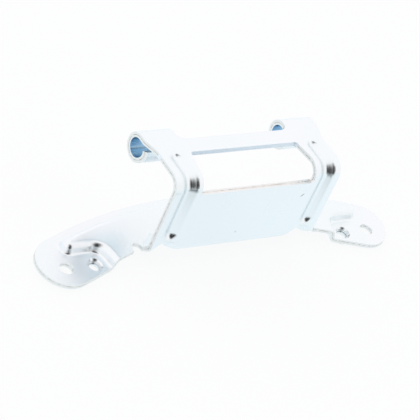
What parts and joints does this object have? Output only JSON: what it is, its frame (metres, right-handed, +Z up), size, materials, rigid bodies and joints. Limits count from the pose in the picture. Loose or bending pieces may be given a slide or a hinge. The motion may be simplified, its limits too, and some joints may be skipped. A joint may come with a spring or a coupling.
{
  "type": "appliance door hinge bracket",
  "caption": "Pressed and bent sheet steel hinge bracket for a washing machine door, with a curved base plate, a window and rolled knuckles.",
  "frame": {"origin": "on the seating face under the lobes, midway between the plain screw holes", "axes": "+X along the hinge pin, +Y from the neck towards the convex edge, +Z up from the seating face towards the knuckles"},
  "size_m": [0.1996, 0.049, 0.051],
  "materials": {
    "zinc_plated_steel": "bright zinc plating with a pale blue tint"
  },
  "bodies": {
    "root": {"hinge_bracket": "zinc_plated_steel"}
  },
  "joints": []
}
